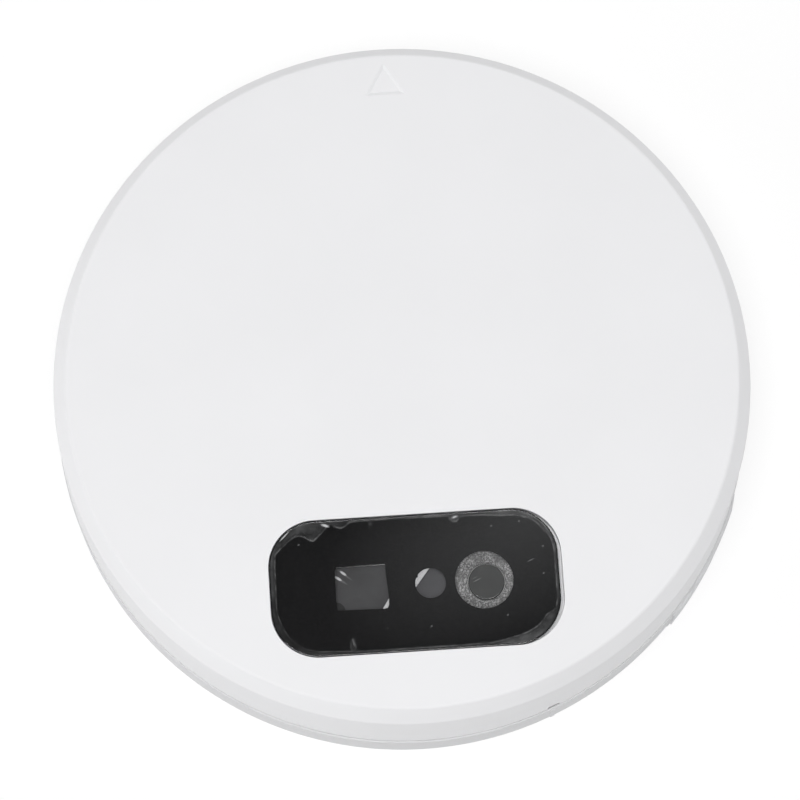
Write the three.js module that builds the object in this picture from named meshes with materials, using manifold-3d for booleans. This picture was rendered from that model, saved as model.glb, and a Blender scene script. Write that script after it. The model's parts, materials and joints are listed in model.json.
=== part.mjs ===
// A low-profile ceiling heat detector: a round white head with a dark sensor window, which turns
// 24 degrees onto a wired bayonet base. Millimetres, +Z up. The base's rear face lies on z = 0, the
// head's flat face looks along +Z, and the arrow mark on that face points along +Y.
import * as THREE from "three";
import { mergeVertices } from "three/addons/utils/BufferGeometryUtils.js";
import Module from "manifold-3d";

const wasm = await Module();
wasm.setup();

// ---------------------------------------------------------------- driving dimensions
const FIT = 0.3; // clearance between neighbouring pieces
const STACK_GAP = 0.1; // clearance between layers that are pressed or stuck together

const base = {
  radius: 60,
  wallHeight: 8.35,
  wall: 2,
  floor: 1.8,
  edgeChamfer: 0.5,
  screwWellFloor: 1, // material left under each terminal screw
  reliefCount: 6, // shallow pockets between flat ribs on the rear face
  reliefDepth: 0.5,
  reliefInner: 17,
  reliefOuterWall: 6,
  ribWidth: 7,
  cableHoleRadius: 11,
  fixingSpacing: 56, // between the two fixing slots' middles
  fixingSlotLength: 14,
  fixingSlotWidth: 4.6,
  padProud: 0.45, // the thin knock-out panel stands this far out of the wall
  markProud: 0.3,
  markWidth: 0.8,
};
const angles = { locked: 292, open: 316, padEnd: 340.5 }; // degrees round +Z from +X
const TWIST = angles.open - angles.locked;

const head = {
  height: 18,
  seamGap: 0.85,
  lipInset: 0.2, // the lip is this much smaller in radius than the base wall
  sideDraft: 0.5,
  chamferWidth: 2.15,
  chamferDrop: 2.85,
  faceWall: 2.2,
  skirtWall: 2,
  notchRadius: 1,
  arrowWidth: 6.2,
  arrowDepth: 0.35,
  arrowRimGap: 1.6,
};
const window_ = {
  length: 48.4,
  width: 23.1,
  corner: 7.9,
  panel: 1.3,
  film: 0.12,
  mask: 0.2,
  sideClearance: 0.12, // round the panel along Y
  endClearance: 0.35, // and along X
  slip: 0.25, // the panel sits this far towards -X in its pocket
  rimGap: 9.75,
  recess: 0.05,
  floor: 1.3,
  filmInset: 0.2,
};
const aperture = {
  squareLength: 8.5,
  squareWidth: 7.5,
  squareX: -9.1,
  roundRadius: 2.55,
  roundX: 2.4,
  ringRadius: 4.9,
  ringX: 11.4,
  ringHoleRadius: 3.15,
  ringHoleShift: 0.45, // the lens sits this far off the ring's centre, along +X
  portMargin: 0.6,
};
const sensors = {
  squareWellEdge: 1.7, // how far each well is smaller all round than its aperture
  roundWellEdge: 1.2,
  cornerWell: 1.8, // a small extra well behind the square aperture's lower -X corner
  lightFilterCut: 1.6, // from the round filter's middle to its straight side
  holderMargin: 4,
  holderDepth: 3,
  filter: 0.6,
  board: 1,
  thermalCan: 1.6,
};
const rear = {
  floor: 1.8,
  drop: 2, // the floor's underside lies this far below the head's lip
  rimWall: 2.1,
  rimHeight: 3.8,
  rimStep: 0.5, // the rim's lower edge is this much thicker than its wall
  rimFoot: 0.6, // and reaches this far below the floor
  spigotWall: 1.8,
  spigotDepth: 3.4,
};
const lug = { count: 3, first: 32, halfAngle: 10.5, reach: 2.2, thickness: 1.6 };
const hook = { halfAngle: 11, wall: 1.5, ledge: 1.1 };
const seal = { width: 1, height: 1 };
const boss = { radius: 3.4, screwRadius: 1.15, headRadius: 2.3, headHeight: 1.5, web: 1.9, angle: 30 };
const board = { standoff: 3, thickness: 1.6, margin: 3, postRadius: 2.6, screwRadius: 0.95 };
const boardPostAngles = [60, 180, 300];
const BOARD_POST_CENTRE = 24;
const terminal = {
  count: 4,
  length: 17,
  width: 8.4,
  pedestal: 1.2,
  plate: 0.6,
  washer: 0.6,
  screwRadius: 1.4,
  headRadius: 2.9,
  headRoom: 0.9, // left between the screw's head and the rear cover above it
  spigotGap: 2,
};
const blade = { width: 5, thickness: 0.5, foot: 7.5 };
const button = { radius: 2, flange: 0.6, flangeReach: 1, proud: 0.4, travel: 0.5, angle: 215, centre: 21 };
const plunger = { radius: 1.5, flange: 0.8, flangeReach: 1.4, tip: 1, travel: 1.1, holeGap: 6, angle: 90 };
const tamperPad = { height: 1.3, radius: 3.2 };

const ROUND = 72; // facets round the case
const SMALL = 16; // facets round a boss, screw or pin

// ---------------------------------------------------------------- heights above the rear face
const lipZ = base.wallHeight + head.seamGap;
const topZ = lipZ + head.height;
const faceInnerZ = topZ - head.faceWall;
const rearFloorZ = lipZ - rear.drop;
const rearFloorTopZ = rearFloorZ + rear.floor;
const boardZ = rearFloorTopZ + board.standoff;
const boardTopZ = boardZ + board.thickness;
const spigotZ = rearFloorZ - rear.spigotDepth;
const lugTopZ = spigotZ + lug.thickness;
const plateZ = base.floor + terminal.pedestal + STACK_GAP;
const washerZ = plateZ + terminal.plate + STACK_GAP;
const terminalHeadZ = washerZ + terminal.washer + STACK_GAP;
const terminalHeadHeight = rearFloorZ - terminal.headRoom - terminalHeadZ;
const panelTopZ = topZ - window_.recess;
const panelZ = panelTopZ - window_.panel;
const maskZ = panelZ - STACK_GAP - window_.mask;
const pocketZ = maskZ - STACK_GAP;
const pocketUnderZ = pocketZ - window_.floor;
const filterZ = pocketUnderZ - FIT - sensors.filter;
const holderZ = filterZ - STACK_GAP - sensors.holderDepth;
const sensorBoardZ = holderZ - FIT - sensors.board;

// ---------------------------------------------------------------- radii and places in plan
const lipRadius = base.radius - head.lipInset;
const edgeRadius = lipRadius - head.sideDraft;
const faceRadius = edgeRadius - head.chamferWidth;
const rearRadius = lipRadius - head.skirtWall - FIT - 0.1;
const rimInner = rearRadius - rear.rimWall;
const hookOuter = rimInner - rear.rimStep - FIT;
const hookInner = hookOuter - hook.wall;
const lugRadius = hookInner - FIT;
const spigotRadius = lugRadius - lug.reach;
const spigotInner = spigotRadius - rear.spigotWall;
const bossCentre = spigotInner - boss.radius - 1;
const terminalCentre = spigotInner - terminal.spigotGap - terminal.width / 2 - terminal.width / 2;
const windowY = -(faceRadius - window_.rimGap - window_.width / 2);
const bladeOffset = terminal.length / 4;
const plungerCentre = base.cableHoleRadius + plunger.holeGap;

const radians = THREE.MathUtils.degToRad;
const polar = (radius, degrees) => [
  radius * Math.cos(radians(degrees)),
  radius * Math.sin(radians(degrees)),
];
const evenly = (count, first = 0) => Array.from({ length: count }, (_, i) => first + (i * 360) / count);

// ---------------------------------------------------------------- shapes and solids
// A profile of [radius, z] points turned about the Z axis.
function turned(profile, facets = ROUND) {
  const points = profile.map(([r, z]) => new THREE.Vector2(r, z));
  return new THREE.LatheGeometry(points, facets).rotateX(Math.PI / 2);
}

// A flat outline raised from z to z + height.
function raised(shape, z, height, curveSegments = SMALL) {
  return new THREE.ExtrudeGeometry(shape, { depth: height, bevelEnabled: false, curveSegments }).translate(
    0,
    0,
    z,
  );
}

function disc(radius, z, height, [x, y] = [0, 0], facets = SMALL) {
  return new THREE.CylinderGeometry(radius, radius, height, facets)
    .rotateX(Math.PI / 2)
    .translate(x, y, z + height / 2);
}

function block(length, width, z, height, [x, y] = [0, 0], turn = 0) {
  return new THREE.BoxGeometry(length, width, height)
    .rotateZ(radians(turn))
    .translate(x, y, z + height / 2);
}

// A rectangle with round corners, centred on x, y.
function roundedRectangle(length, width, corner, x = 0, y = 0) {
  const [l, w] = [length / 2 - corner, width / 2 - corner];
  const shape = new THREE.Shape();
  shape.absarc(x + l, y + w, corner, 0, Math.PI / 2);
  shape.absarc(x - l, y + w, corner, Math.PI / 2, Math.PI);
  shape.absarc(x - l, y - w, corner, Math.PI, 1.5 * Math.PI);
  shape.absarc(x + l, y - w, corner, 1.5 * Math.PI, 2 * Math.PI);
  return shape;
}

// Part of a ring, from one angle to another, in degrees.
function sector(inner, outer, from, to) {
  const shape = new THREE.Shape();
  shape.absarc(0, 0, outer, radians(from), radians(to));
  shape.absarc(0, 0, inner, radians(to), radians(from), true);
  return shape;
}

function outline(points) {
  return new THREE.Shape(points.map(([x, y]) => new THREE.Vector2(x, y)));
}

function solid(geometry) {
  const bare = geometry.index ? geometry.toNonIndexed() : geometry.clone();
  bare.deleteAttribute("normal");
  bare.deleteAttribute("uv");
  const merged = mergeVertices(bare, 1e-4);
  return new wasm.Manifold(
    new wasm.Mesh({
      numProp: 3,
      vertProperties: merged.attributes.position.array,
      triVerts: new Uint32Array(merged.index.array),
    }),
  );
}

const join = (...geometries) => geometries.map(solid).reduce((a, b) => a.add(b));
const cut = (body, ...geometries) => geometries.map(solid).reduce((a, b) => a.subtract(b), body);

function geometryOf(manifold) {
  const { vertProperties, triVerts, numProp } = manifold.getMesh();
  const count = vertProperties.length / numProp;
  const places = new Float32Array(count * 3);
  for (let i = 0; i < count; i++) {
    places.set(vertProperties.subarray(i * numProp, i * numProp + 3), i * 3);
  }
  const geometry = new THREE.BufferGeometry()
    .setAttribute("position", new THREE.BufferAttribute(places, 3))
    .setIndex(new THREE.BufferAttribute(triVerts, 1));
  geometry.computeVertexNormals();
  return geometry;
}

// ---------------------------------------------------------------- materials
const material = (color, roughness, metalness = 0) =>
  new THREE.MeshStandardMaterial({ color, roughness, metalness });
const whitePlastic = material(0xeeeeee, 0.5);
const clearPanel = material(0x1b1b1c, 0.08);
const blackPrint = material(0x101011, 0.5);
const clearFilm = material(0xf4f6f8, 0.1);
const greyFilter = material(0x4a4a4c, 0.3);
const frosted = material(0x9a9a9a, 0.7);
const boardGreen = material(0x1d5c37, 0.45);
const blackPackage = material(0x1c1c1e, 0.5);
const steel = material(0xb9bbbd, 0.3, 1);
const brass = material(0xc2a35a, 0.35, 1);
const rubber = material(0x2a2a2b, 0.9);

const part = new THREE.Group();
function add(group, name, shape, look) {
  const mesh = new THREE.Mesh(shape instanceof THREE.BufferGeometry ? shape : geometryOf(shape), look);
  mesh.name = name;
  group.add(mesh);
  return mesh;
}

// ---------------------------------------------------------------- mounting base
const lugAngles = evenly(lug.count, lug.first);
const terminalAngles = evenly(terminal.count, 45);

function mountingBase() {
  const chamfer = base.edgeChamfer;
  const inner = base.radius - base.wall;
  let body = solid(
    turned([
      [0, 0],
      [base.radius - chamfer, 0],
      [base.radius, chamfer],
      [base.radius, base.wallHeight],
      [inner, base.wallHeight],
      [inner, base.floor],
      [0, base.floor],
    ]),
  );
  const sunk = 0.5; // how deep an added feature starts inside the body that carries it
  for (const angle of lugAngles) {
    const [from, to] = [angle - hook.halfAngle, angle + hook.halfAngle];
    const hookTop = lugTopZ + FIT + hook.ledge;
    body = body.add(
      join(
        raised(sector(hookInner, hookOuter, from, to), base.floor - sunk, hookTop - base.floor + sunk, 8),
        raised(sector(spigotRadius + FIT, hookInner + sunk, from, to), lugTopZ + FIT, hook.ledge, 8),
        raised(
          sector(spigotRadius + FIT, hookInner + sunk, from - 2, from),
          base.floor - sunk,
          hookTop - base.floor + sunk,
          4,
        ),
      ),
    );
  }
  for (const angle of terminalAngles) {
    body = body.add(
      solid(
        block(
          terminal.length + 1,
          terminal.width + 1,
          base.floor - sunk,
          terminal.pedestal + sunk,
          polar(terminalCentre, angle),
          angle + 90,
        ),
      ),
    );
    const screwAt = terminalPoint(angle, -bladeOffset);
    body = cut(body, disc(terminal.screwRadius + FIT, base.screwWellFloor, base.wallHeight, screwAt));
  }
  const padHeight = base.wallHeight - 2 * base.edgeChamfer;
  body = body.add(
    join(
      disc(tamperPad.radius, base.floor - sunk, tamperPad.height + sunk, polar(plungerCentre, plunger.angle)),
      raised(
        sector(base.radius - sunk, base.radius + base.padProud, angles.open + 0.8, angles.padEnd),
        base.edgeChamfer,
        padHeight,
        12,
      ),
      ...[angles.locked, angles.open].map((angle) =>
        block(
          2 * base.markProud,
          base.markWidth,
          base.edgeChamfer,
          padHeight,
          polar(base.radius, angle),
          angle,
        ),
      ),
    ),
  );
  const slotCentre = base.fixingSpacing / 2;
  const slot = (x) =>
    raised(
      roundedRectangle(base.fixingSlotLength, base.fixingSlotWidth, base.fixingSlotWidth / 2 - 0.01, x),
      -1,
      base.floor + 2,
      6,
    );
  return cut(
    body,
    ...evenly(base.reliefCount, 30).map(reliefPocket),
    disc(base.cableHoleRadius, -1, base.floor + 2, [0, 0], ROUND / 2),
    slot(slotCentre),
    slot(-slotCentre),
  );
}

// A shallow pocket in the rear face, between two flat ribs, centred on an angle.
function reliefPocket(angle) {
  const [inner, outer] = [base.reliefInner, base.radius - base.reliefOuterWall];
  const half = 180 / base.reliefCount;
  const trim = (radius) => THREE.MathUtils.radToDeg(Math.asin(base.ribWidth / 2 / radius));
  const [innerHalf, outerHalf] = [half - trim(inner), half - trim(outer)];
  const shape = new THREE.Shape();
  shape.absarc(0, 0, outer, radians(angle - outerHalf), radians(angle + outerHalf));
  shape.absarc(0, 0, inner, radians(angle + innerHalf), radians(angle - innerHalf), true);
  return raised(shape, -1, base.reliefDepth + 1, 8);
}

// A point on a terminal, given along its length from its middle, towards the way the head opens.
function terminalPoint(angle, along) {
  const [x, y] = polar(terminalCentre, angle);
  const [dx, dy] = polar(along, angle + 90);
  return [x + dx, y + dy];
}

function terminalPlate(angle) {
  return cut(
    solid(
      block(
        terminal.length,
        terminal.width,
        plateZ,
        terminal.plate,
        polar(terminalCentre, angle),
        angle + 90,
      ),
    ),
    disc(terminal.screwRadius + FIT, plateZ - 1, terminal.plate + 2, terminalPoint(angle, -bladeOffset)),
  );
}

function clampWasher(angle) {
  const side = 2 * terminal.headRadius + 1;
  const at = terminalPoint(angle, -bladeOffset);
  return cut(
    solid(block(side, side, washerZ, terminal.washer, at, angle)),
    disc(terminal.screwRadius + FIT, washerZ - 1, terminal.washer + 2, at),
  );
}

// A pan-head screw with a cross slot. It points down from its head, or up if up is true.
function screw(headRadius, headHeight, shankRadius, headZ, tipZ, at, up = false) {
  const slotWidth = headRadius * 0.28;
  const slotDepth = headHeight * 0.5;
  const faceZ = up ? headZ : headZ + headHeight;
  const slotZ = up ? faceZ - 1 : faceZ - slotDepth;
  const length = up ? tipZ - headZ : headZ + headHeight - tipZ;
  const body = join(
    disc(headRadius, headZ, headHeight, at),
    disc(shankRadius, up ? headZ + headHeight / 2 : tipZ, length - headHeight / 2, at, 12),
  );
  return cut(
    body,
    block(headRadius * 1.3, slotWidth, slotZ, slotDepth + 1, at),
    block(slotWidth, headRadius * 1.3, slotZ, slotDepth + 1, at),
  );
}

const baseGroup = new THREE.Group();
add(baseGroup, "mounting_base", mountingBase(), whitePlastic);
terminalAngles.forEach((angle, i) => {
  add(baseGroup, `terminal_plate_${i + 1}`, terminalPlate(angle), brass);
  add(baseGroup, `clamp_washer_${i + 1}`, clampWasher(angle), steel);
  add(
    baseGroup,
    `terminal_screw_${i + 1}`,
    screw(
      terminal.headRadius,
      terminalHeadHeight,
      terminal.screwRadius,
      terminalHeadZ,
      base.screwWellFloor + FIT,
      terminalPoint(angle, -bladeOffset),
    ),
    steel,
  );
});

// ---------------------------------------------------------------- front cover
const bossAngles = [boss.angle, 180 - boss.angle, 180 + boss.angle, 360 - boss.angle];
const bossFootZ = rearFloorTopZ + boss.web + FIT;

function arrowMark() {
  const height = (head.arrowWidth * Math.sqrt(3)) / 2;
  const tip = faceRadius - head.arrowRimGap;
  return outline([
    [-head.arrowWidth / 2, tip - height],
    [head.arrowWidth / 2, tip - height],
    [0, tip],
  ]);
}

const apertureShapes = (margin) => [
  roundedRectangle(
    aperture.squareLength + 2 * margin,
    aperture.squareWidth + 2 * margin,
    0.4 + margin,
    aperture.squareX,
    windowY,
  ),
  new THREE.Shape().absarc(aperture.roundX, windowY, aperture.roundRadius + margin, 0, 2 * Math.PI),
  new THREE.Shape().absarc(aperture.ringX, windowY, aperture.ringRadius + margin, 0, 2 * Math.PI),
];

function frontCover() {
  const innerEdge = edgeRadius - head.skirtWall;
  const innerLip = lipRadius - head.skirtWall;
  let body = solid(
    turned([
      [0, faceInnerZ],
      [innerEdge - head.chamferWidth, faceInnerZ],
      [innerEdge, topZ - head.chamferDrop - head.faceWall],
      [innerLip, lipZ],
      [lipRadius, lipZ],
      [edgeRadius, topZ - head.chamferDrop],
      [faceRadius, topZ],
      [0, topZ],
    ]),
  );
  const pocketLength = window_.length + 2 * window_.endClearance;
  const pocketWidth = window_.width + 2 * window_.sideClearance;
  const pocketCorner = window_.corner + window_.sideClearance;
  const pad = raised(
    roundedRectangle(pocketLength + 3, pocketWidth + 3, pocketCorner + 1.5, 0, windowY),
    pocketUnderZ,
    faceInnerZ - pocketUnderZ + 0.5,
    8,
  );
  const posts = bossAngles.map((angle) =>
    disc(boss.radius, bossFootZ, faceInnerZ - bossFootZ + 0.5, polar(bossCentre, angle)),
  );
  body = body.add(join(pad, ...posts));
  const pilotTop = faceInnerZ - 1.5;
  return cut(
    body,
    raised(roundedRectangle(pocketLength, pocketWidth, pocketCorner, 0, windowY), pocketZ, 5, 8),
    ...apertureShapes(aperture.portMargin).map((shape) => raised(shape, pocketUnderZ - 1, 5, 6)),
    raised(arrowMark(), topZ - head.arrowDepth, 2),
    disc(head.notchRadius, -1, 4, [0, 0])
      .rotateY(Math.PI / 2)
      .rotateZ(radians(angles.locked))
      .translate(...polar(lipRadius - 1, angles.locked), lipZ),
    ...bossAngles.map((angle) =>
      disc(boss.screwRadius + FIT, bossFootZ - 1, pilotTop - bossFootZ + 1, polar(bossCentre, angle), 12),
    ),
  );
}

// ---------------------------------------------------------------- window and sensors
const windowShape = (inset, shift = -window_.slip) =>
  roundedRectangle(
    window_.length - 2 * inset,
    window_.width - 2 * inset,
    window_.corner - inset,
    shift,
    windowY,
  );

function windowMask() {
  return cut(
    solid(raised(windowShape(0.3), maskZ, window_.mask, 8)),
    ...apertureShapes(0).map((shape) => raised(shape, maskZ - 1, 3, 6)),
  );
}

// Grey film behind the square aperture, its two lower corners cut off.
function thermalFilter() {
  const [l, w] = [aperture.squareLength / 2 + 0.2, aperture.squareWidth / 2 + 0.2];
  const [x, cutOff] = [aperture.squareX, 1.5];
  return raised(
    outline([
      [x - l + cutOff, windowY - w],
      [x + l - cutOff, windowY - w],
      [x + l, windowY - w + 1.7 * cutOff],
      [x + l, windowY + w],
      [x - l, windowY + w],
      [x - l, windowY - w + cutOff],
    ]),
    filterZ,
    sensors.filter,
  );
}

// Grey film behind the round aperture, with one side cut off straight.
function lightFilter() {
  const radius = aperture.roundRadius + 0.2;
  const film = disc(radius, filterZ, sensors.filter, [aperture.roundX, windowY]);
  const [dx, dy] = polar(sensors.lightFilterCut + radius / 2, 144);
  return cut(
    solid(film),
    block(radius, 3 * radius, filterZ - 1, 3, [aperture.roundX + dx, windowY + dy], 144),
  );
}

const lensAt = [aperture.ringX + aperture.ringHoleShift, windowY];

function ringDiffuser() {
  return cut(
    solid(disc(aperture.ringRadius + FIT, filterZ, sensors.filter, [aperture.ringX, windowY], 32)),
    disc(aperture.ringHoleRadius, filterZ - 1, 3, lensAt, 32),
  );
}

// The white carrier behind the window pad, with a well behind each aperture.
function sensorHolder() {
  const length = window_.length - 2 * sensors.holderMargin;
  const width = window_.width - 2 * sensors.holderMargin;
  const cornerAt = [aperture.squareX - aperture.squareLength / 2, windowY - aperture.squareWidth / 2];
  return cut(
    solid(raised(roundedRectangle(length, width, 2, 0, windowY), holderZ, sensors.holderDepth, 6)),
    block(sensors.cornerWell, sensors.cornerWell, holderZ + 1, sensors.holderDepth, [
      cornerAt[0] + sensors.cornerWell / 2,
      cornerAt[1] + sensors.cornerWell / 2,
    ]),
    block(
      aperture.squareLength - 2 * sensors.squareWellEdge,
      aperture.squareWidth - 2 * sensors.squareWellEdge,
      holderZ - 1,
      sensors.holderDepth + 2,
      [aperture.squareX, windowY],
    ),
    disc(aperture.roundRadius - sensors.roundWellEdge, holderZ - 1, sensors.holderDepth + 2, [aperture.roundX, windowY]),
    disc(aperture.ringHoleRadius - 0.4, holderZ - 1, sensors.holderDepth + 2, lensAt),
  );
}

const headGroup = new THREE.Group();
add(headGroup, "front_cover", frontCover(), whitePlastic);
add(headGroup, "window_panel", raised(windowShape(0), panelZ, window_.panel, 8), clearPanel);
add(headGroup, "window_mask", windowMask(), blackPrint);
add(
  headGroup,
  "protective_film",
  raised(windowShape(window_.filmInset), panelTopZ + STACK_GAP / 2, window_.film, 8),
  clearFilm,
);
add(headGroup, "thermal_filter", thermalFilter(), greyFilter);
add(headGroup, "light_filter", lightFilter(), greyFilter);
add(headGroup, "ring_diffuser", ringDiffuser(), frosted);
add(
  headGroup,
  "ring_lens",
  disc(aperture.ringHoleRadius - STACK_GAP, filterZ, sensors.filter, lensAt, 32),
  greyFilter,
);
add(headGroup, "sensor_holder", sensorHolder(), whitePlastic);
const sensorBoardLength = window_.length - 2 * sensors.holderMargin;
const sensorBoardWidth = window_.width - 2 * sensors.holderMargin;
add(
  headGroup,
  "sensor_board",
  block(sensorBoardLength, sensorBoardWidth, sensorBoardZ, sensors.board, [0, windowY]),
  boardGreen,
);
const canZ = sensorBoardZ + sensors.board + STACK_GAP;
const arrayRoom = 2 * (sensors.squareWellEdge + FIT);
add(
  headGroup,
  "thermal_array",
  block(
    aperture.squareLength - arrayRoom,
    aperture.squareWidth - arrayRoom,
    canZ,
    sensors.thermalCan,
    [aperture.squareX, windowY],
  ),
  steel,
);
add(
  headGroup,
  "light_sensor",
  block(1.4, 1.4, canZ, 0.9, [aperture.roundX, windowY]),
  blackPackage,
);
add(headGroup, "infrared_sensor", disc(2.3, canZ, sensors.thermalCan, lensAt), steel);

// ---------------------------------------------------------------- rear cover
function rearCover() {
  const rimTopZ = rearFloorZ + rear.rimHeight;
  const rebate = rearRadius - seal.width - FIT;
  let body = solid(
    turned([
      [0, rearFloorZ],
      [rimInner - rear.rimStep, rearFloorZ],
      [rimInner - rear.rimStep, rearFloorZ - rear.rimFoot],
      [rearRadius, rearFloorZ - rear.rimFoot],
      [rearRadius, rimTopZ - seal.height - FIT],
      [rebate, rimTopZ - seal.height - FIT],
      [rebate, rimTopZ],
      [rimInner, rimTopZ],
      [rimInner, rearFloorTopZ],
      [0, rearFloorTopZ],
    ]),
  );
  const spigot = cut(
    solid(disc(spigotRadius, spigotZ, rear.spigotDepth + 0.5, [0, 0], ROUND)),
    disc(spigotInner, spigotZ - 1, rear.spigotDepth + 2, [0, 0], ROUND),
  );
  body = body.add(spigot);
  const additions = [
    ...lugAngles.map((angle) =>
      raised(
        sector(spigotRadius - 0.5, lugRadius, angle - lug.halfAngle, angle + lug.halfAngle),
        spigotZ,
        lug.thickness,
        8,
      ),
    ),
    ...bossAngles.map((angle) =>
      disc(boss.radius + 0.4, rearFloorTopZ - 0.5, boss.web + 0.5, polar(bossCentre, angle)),
    ),
    ...boardPostAngles.map((angle) =>
      disc(
        board.postRadius,
        rearFloorTopZ - 0.5,
        board.standoff + 0.5 - STACK_GAP,
        polar(BOARD_POST_CENTRE, angle),
      ),
    ),
  ];
  body = body.add(join(...additions));
  const through = rear.floor + boss.web + 2;
  return cut(
    body,
    ...bossAngles.flatMap((angle) => [
      disc(boss.headRadius + FIT, rearFloorZ - 1, rear.floor + 1, polar(bossCentre, angle)),
      disc(boss.screwRadius + FIT, rearFloorZ - 1, through, polar(bossCentre, angle), 12),
    ]),
    ...boardPostAngles.map((angle) =>
      disc(board.screwRadius + FIT, rearFloorTopZ, board.standoff + 1, polar(BOARD_POST_CENTRE, angle), 12),
    ),
    ...terminalAngles.map((angle) =>
      block(
        blade.thickness + 2 * FIT,
        blade.width + 2 * FIT,
        rearFloorZ - 1,
        rear.floor + 2,
        terminalPoint(angle, bladeOffset - blade.foot / 2),
        angle + 90,
      ),
    ),
    disc(button.radius + FIT, rearFloorZ - 1, rear.floor + 2, polar(button.centre, button.angle)),
    disc(plunger.radius + FIT, rearFloorZ - 1, rear.floor + 2, polar(plungerCentre, plunger.angle)),
  );
}

// A bent strip: a pin up to the board, a run under the floor, and a foot that presses on a terminal.
function contactBlade() {
  const t = blade.thickness;
  const underZ = rearFloorZ - FIT - t;
  const footZ = plateZ + terminal.plate + FIT;
  const run = blade.foot / 2;
  const strip = outline([
    [-t / 2, boardZ - FIT],
    [-t / 2, underZ],
    [run - 1, underZ],
    [run + 0.5, footZ],
    [run + 2, footZ],
    [run + 3.2, footZ + 1.2],
    [run + 3.2, footZ + 1.2 + t],
    [run + 2 - t / 3, footZ + t],
    [run + 0.5 + t / 2, footZ + t],
    [run - 1 + t / 2, underZ + t],
    [t / 2, underZ + t],
    [t / 2, boardZ - FIT],
  ]);
  return new THREE.ExtrudeGeometry(strip, { depth: blade.width, bevelEnabled: false })
    .translate(0, 0, -blade.width / 2)
    .rotateX(Math.PI / 2);
}

add(headGroup, "rear_cover", rearCover(), whitePlastic);
terminalAngles.forEach((angle, i) => {
  const [x, y] = terminalPoint(angle, bladeOffset - blade.foot / 2);
  const mesh = add(headGroup, `contact_blade_${i + 1}`, contactBlade(), brass);
  mesh.position.set(x, y, 0);
  mesh.rotation.z = radians(angle + 90);
});

const sealZ = rearFloorZ + rear.rimHeight - seal.height;
add(
  headGroup,
  "seal_ring",
  turned([
    [rearRadius - seal.width, sealZ],
    [rearRadius, sealZ],
    [rearRadius, sealZ + seal.height],
    [rearRadius - seal.width, sealZ + seal.height],
    [rearRadius - seal.width, sealZ],
  ]),
  rubber,
);
bossAngles.forEach((angle, i) => {
  add(
    headGroup,
    `cover_screw_${i + 1}`,
    screw(
      boss.headRadius,
      boss.headHeight,
      boss.screwRadius,
      rearFloorTopZ - STACK_GAP - boss.headHeight,
      rearFloorTopZ + boss.web + 6,
      polar(bossCentre, angle),
      true,
    ),
    steel,
  );
});

// ---------------------------------------------------------------- main board and what it carries
const linkAt = [0, windowY + sensorBoardWidth / 2 - 2];

function mainBoard() {
  const radius = rimInner - board.margin;
  return cut(
    solid(disc(radius, boardZ, board.thickness, [0, 0], ROUND / 2)),
    ...bossAngles.map((angle) =>
      disc(boss.radius + 0.4 + FIT, boardZ - 1, board.thickness + 2, polar(bossCentre, angle)),
    ),
    ...boardPostAngles.map((angle) =>
      disc(board.screwRadius + FIT, boardZ - 1, board.thickness + 2, polar(BOARD_POST_CENTRE, angle), 12),
    ),
    disc(plunger.tip + FIT, boardZ - 1, board.thickness + 2, polar(plungerCentre, plunger.angle), 12),
  );
}

add(headGroup, "main_board", mainBoard(), boardGreen);
boardPostAngles.forEach((angle, i) => {
  add(
    headGroup,
    `board_screw_${i + 1}`,
    screw(
      2,
      1.3,
      board.screwRadius,
      boardTopZ + STACK_GAP,
      rearFloorTopZ + FIT,
      polar(BOARD_POST_CENTRE, angle),
    ),
    steel,
  );
});
const onBoardZ = boardTopZ + STACK_GAP;
const linkHeight = sensorBoardZ - STACK_GAP - onBoardZ;
add(headGroup, "board_link", block(16, 2.5, onBoardZ, linkHeight, linkAt), blackPackage);
add(headGroup, "microcontroller", block(9, 9, onBoardZ, 1, [11, 6]), blackPackage);
add(headGroup, "alarm_relay", block(10.6, 7.4, onBoardZ, 5, [-26, 8]), blackPackage);
add(headGroup, "capacitor_1", disc(3.2, onBoardZ, 6, [-22, 28]), steel);
add(headGroup, "capacitor_2", disc(2.5, onBoardZ, 5.4, [-12, 32]), steel);
add(headGroup, "inductor", block(6, 6, onBoardZ, 3, [24, 26]), blackPackage);

// ---------------------------------------------------------------- test button and tamper plunger
const buttonAt = polar(button.centre, button.angle);
const buttonFlangeZ = rearFloorTopZ + STACK_GAP;
const buttonTopZ = buttonFlangeZ + button.flange + 0.2;
const switchFootZ = buttonTopZ + button.travel + STACK_GAP;
add(
  headGroup,
  "test_button",
  join(
    disc(button.radius, rearFloorZ - button.proud, buttonTopZ - rearFloorZ + button.proud, buttonAt),
    disc(button.radius + button.flangeReach, buttonFlangeZ, button.flange, buttonAt),
  ),
  rubber,
);
add(
  headGroup,
  "test_switch",
  block(6, 6, switchFootZ, boardZ - STACK_GAP - switchFootZ, buttonAt),
  blackPackage,
);

const plungerAt = polar(plungerCentre, plunger.angle);
const plungerFlangeZ = rearFloorTopZ + STACK_GAP;
const plungerTipZ = boardTopZ + FIT;
const plungerFootZ = base.floor + tamperPad.height + FIT;
add(
  headGroup,
  "tamper_plunger",
  join(
    disc(plunger.radius, plungerFootZ, plungerFlangeZ + plunger.flange - plungerFootZ, plungerAt),
    disc(plunger.radius + plunger.flangeReach, plungerFlangeZ, plunger.flange, plungerAt),
    disc(plunger.tip, plungerFlangeZ, plungerTipZ - plungerFlangeZ, plungerAt),
  ),
  whitePlastic,
);

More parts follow.
